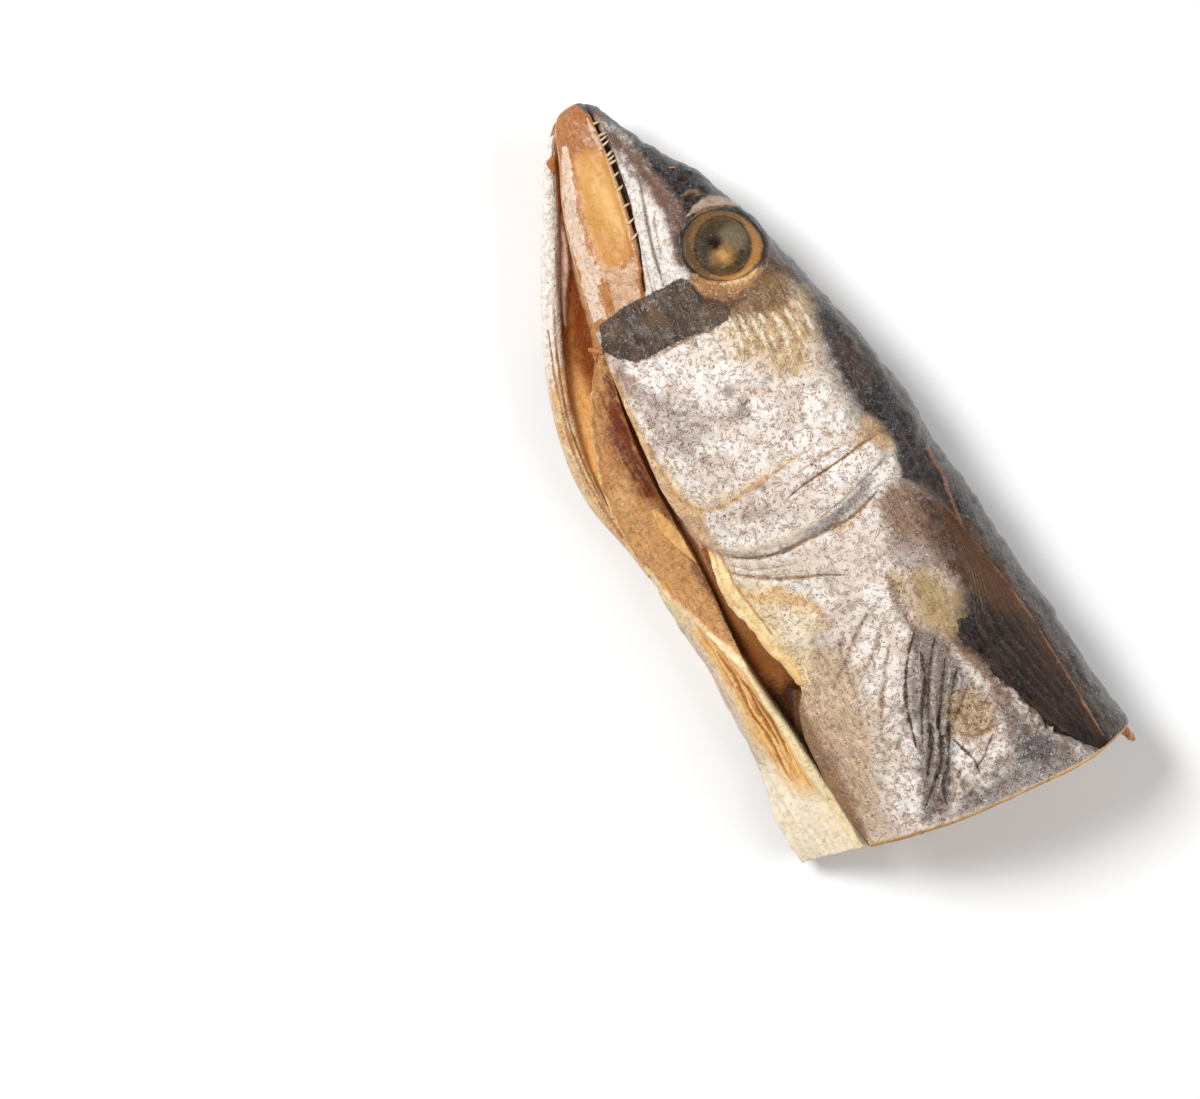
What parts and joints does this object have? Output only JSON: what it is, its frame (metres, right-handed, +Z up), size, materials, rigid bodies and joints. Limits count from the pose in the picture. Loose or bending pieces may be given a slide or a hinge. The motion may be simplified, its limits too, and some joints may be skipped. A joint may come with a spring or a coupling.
{
  "type": "dried salted fish head",
  "caption": "Head and shoulder piece of a dried salted fish, cut off behind the side fin, lying on its right side with its eye, gill cover and split belly showing.",
  "frame": {"origin": "centre of the underside of the fish's box, on the surface that it lies on", "axes": "+Y from the cut end towards the snout, +X from the belly towards the back, +Z up, out of the side that shows"},
  "size_m": [0.09, 0.205, 0.0443],
  "materials": {
    "dried_skin_and_flesh": "satin silver-white dried skin over tan dried flesh"
  },
  "bodies": {
    "root": {"salted_fish_head": "dried_skin_and_flesh"}
  },
  "joints": []
}
